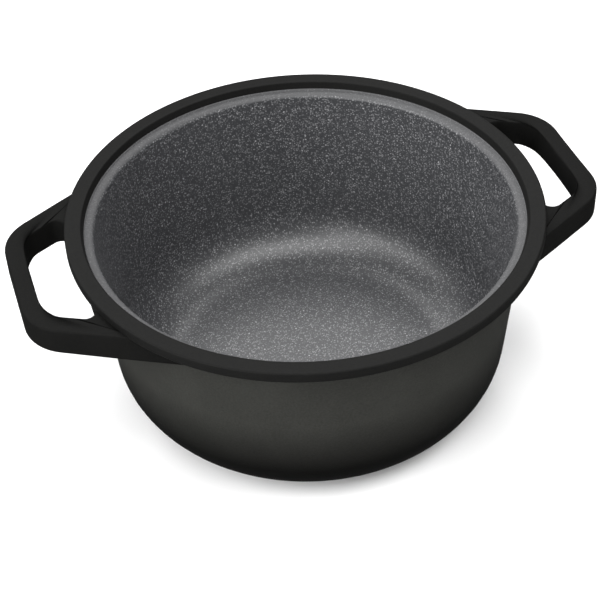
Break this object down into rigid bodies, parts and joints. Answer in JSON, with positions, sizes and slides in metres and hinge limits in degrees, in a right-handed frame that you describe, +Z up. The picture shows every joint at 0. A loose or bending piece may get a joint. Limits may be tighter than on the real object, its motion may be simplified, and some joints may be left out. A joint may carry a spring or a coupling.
{
  "type": "dutch oven",
  "caption": "Low round cooking pot without a lid, with a stepped lid seat, a speckled non-stick inside and loop handles cast on at the rim.",
  "frame": {"origin": "middle of the flat base, on the surface the pot stands on", "axes": "+Z up the pot's axis, +X out through the right handle"},
  "size_m": [0.3208, 0.26, 0.1205],
  "materials": {
    "outer_finish": "satin dark grey, fine cast grain",
    "handle_finish": "satin black, fine cast grain",
    "speckled_coating": "baked charcoal coating with fine pale specks, satin"
  },
  "bodies": {
    "root": {"pot_body": "outer_finish", "left_handle": "handle_finish", "right_handle": "handle_finish", "nonstick_lining": "speckled_coating"}
  },
  "joints": []
}
